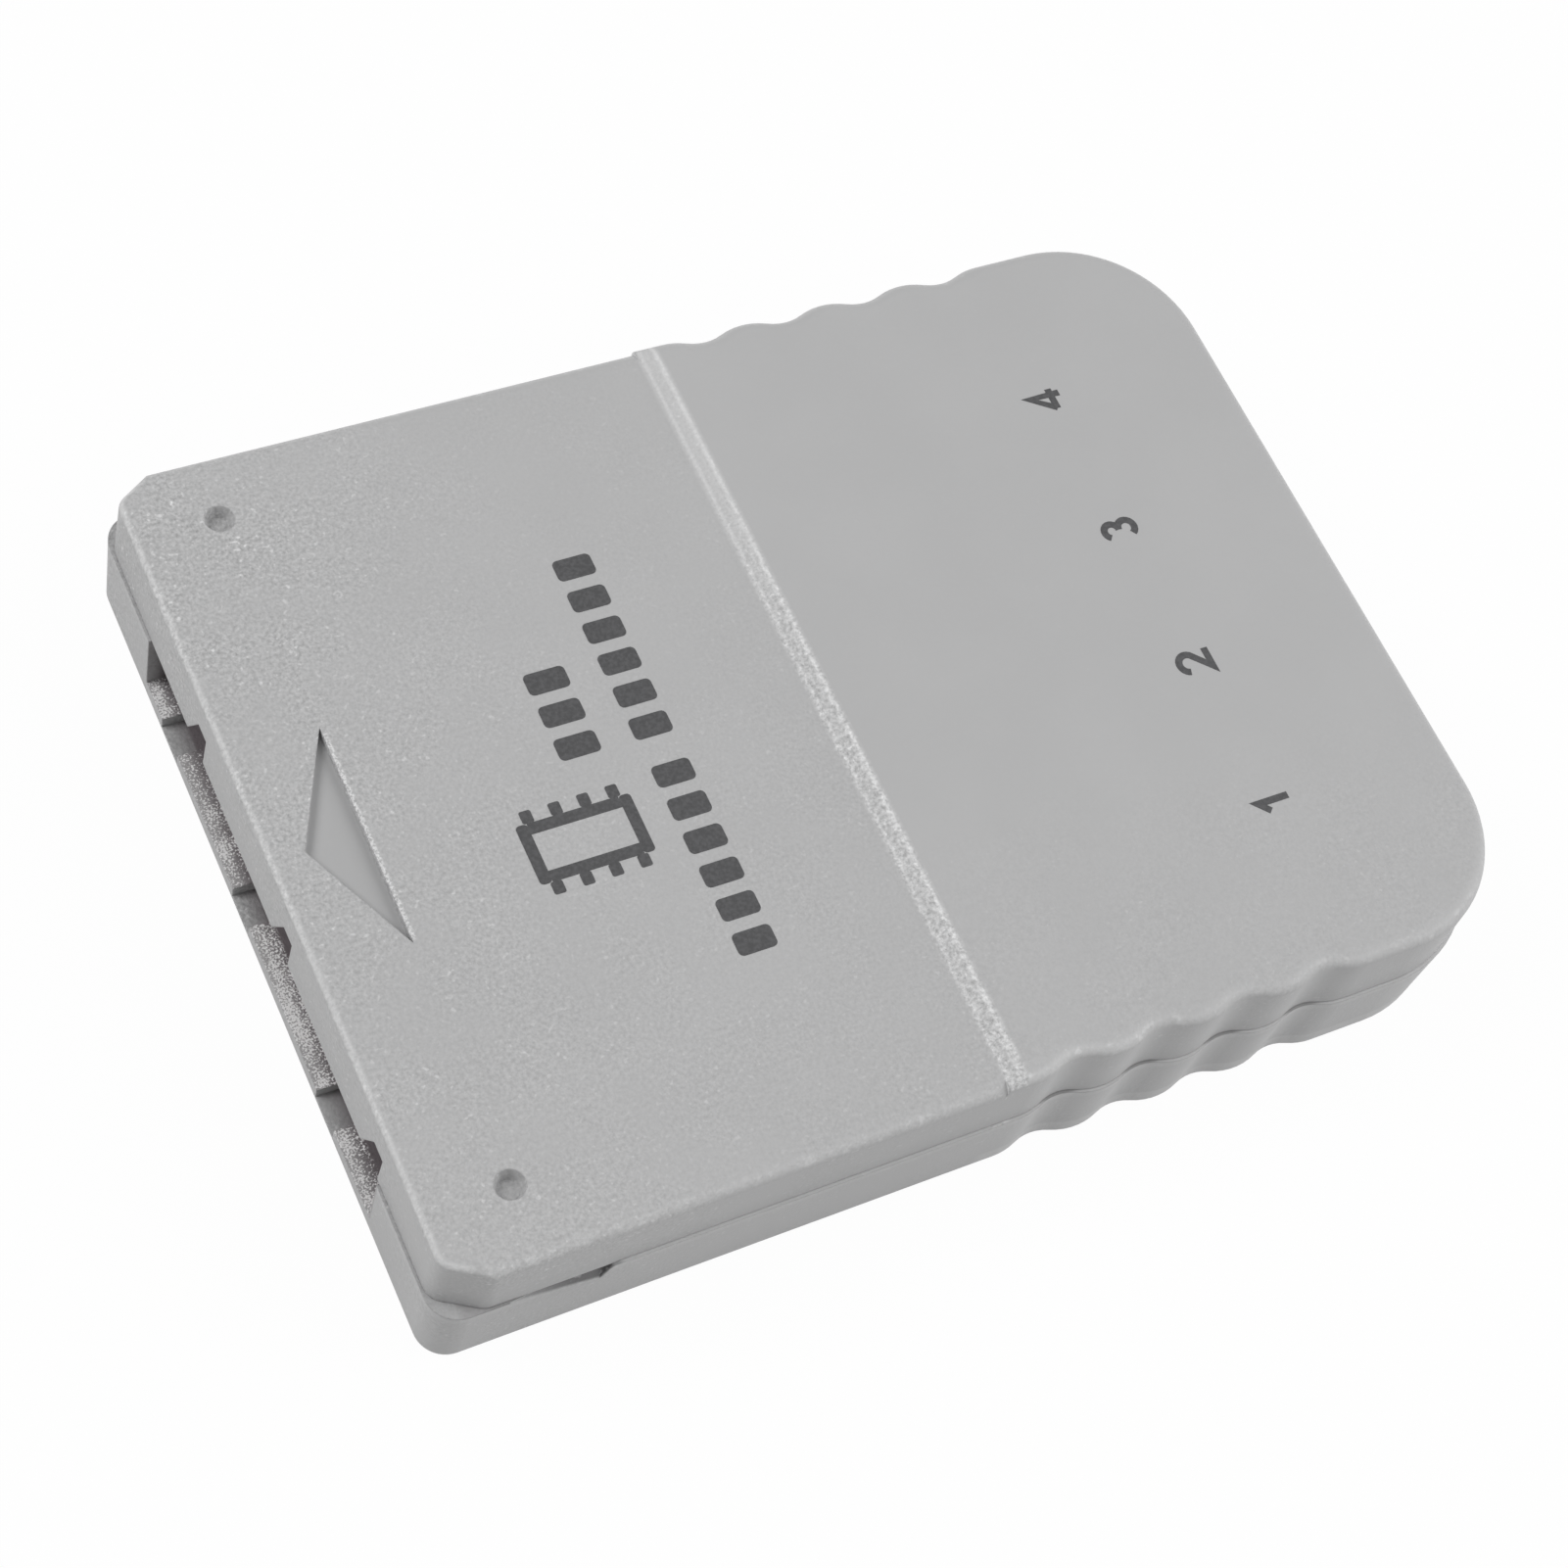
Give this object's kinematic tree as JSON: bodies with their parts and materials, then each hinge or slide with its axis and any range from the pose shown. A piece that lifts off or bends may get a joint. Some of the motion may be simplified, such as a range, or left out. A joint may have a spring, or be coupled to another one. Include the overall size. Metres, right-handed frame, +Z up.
{
  "type": "console memory card",
  "caption": "Flat rectangular plug-in memory card: two-shell grey plastic case with a scalloped grip, keyed mouth at the front and a circuit board with contacts inside.",
  "frame": {"origin": "middle of the flat underside", "axes": "+Z up, +X along the length from the plug-in mouth to the grip, +Y across the width"},
  "size_m": [0.044, 0.0332, 0.0069],
  "materials": {
    "case": "fine spark-eroded grain",
    "board": "dark solder mask on glass-fibre laminate",
    "contact_plating": "gold plated",
    "chip_package": "moulded epoxy",
    "tinned_leads": "tinned",
    "bulk_capacitor": "moulded epoxy",
    "capacitor": "fired ceramic",
    "resistor": "glazed ceramic"
  },
  "bodies": {
    "root": {"top_shell": "case", "bottom_shell": "case", "circuit_board": "board", "contact_pad_1": "contact_plating", "contact_pad_2": "contact_plating", "contact_pad_3": "contact_plating", "contact_pad_4": "contact_plating", "contact_pad_5": "contact_plating", "contact_pad_6": "contact_plating", "contact_pad_7": "contact_plating", "contact_pad_8": "contact_plating", "contact_pad_9": "contact_plating", "contact_pad_10": "contact_plating", "contact_pad_11": "contact_plating", "contact_pad_12": "contact_plating", "memory_chip": "chip_package", "memory_chip_leads": "tinned_leads", "bulk_capacitor": "bulk_capacitor", "capacitor_1": "capacitor", "capacitor_2": "capacitor", "resistor_1": "resistor", "resistor_2": "resistor", "resistor_3": "resistor", "resistor_4": "resistor"}
  },
  "joints": []
}
